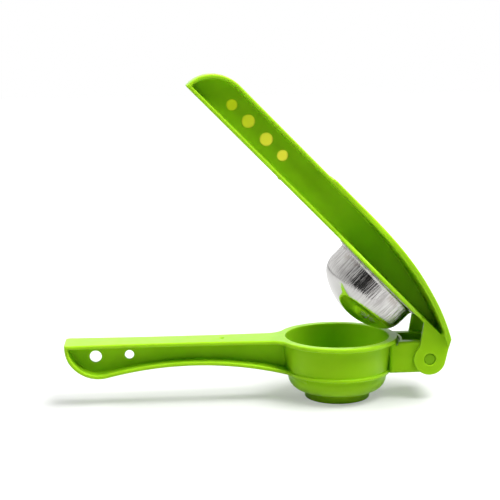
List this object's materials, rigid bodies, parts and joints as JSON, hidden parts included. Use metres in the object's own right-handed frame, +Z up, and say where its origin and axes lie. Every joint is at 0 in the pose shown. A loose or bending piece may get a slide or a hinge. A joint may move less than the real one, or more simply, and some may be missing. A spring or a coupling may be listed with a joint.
{
  "type": "hinged lemon squeezer",
  "caption": "Hand press for citrus: a slotted cup with an I-section handle and, on a fork hinge, a long I-section lever that carries a steel dome.",
  "frame": {"origin": "on the cup's axis, in the plane of the foot ring's underside", "axes": "+X from the cup to the hinge (the handles run to -X), +Y along the hinge axis, +Z up along the cup's axis"},
  "size_m": [0.2184, 0.069, 0.1853],
  "materials": {
    "green_plastic": "smooth moulded gloss",
    "pin_plastic": "smooth moulded gloss",
    "stainless_steel": "polished, with fine drawn streaks near the lip"
  },
  "bodies": {
    "cup": {"cup_body": "green_plastic", "hinge_pin": "pin_plastic"},
    "lever": {"press_lever": "green_plastic", "press_dome": "stainless_steel"}
  },
  "joints": [
    {"name": "lever_hinge", "type": "hinge", "parent": "cup", "child": "lever", "pos_m": [0.0505, 0, 0.0243], "axis": [0, 1, 0], "range_deg": [-45.5, 119.5]}
  ]
}
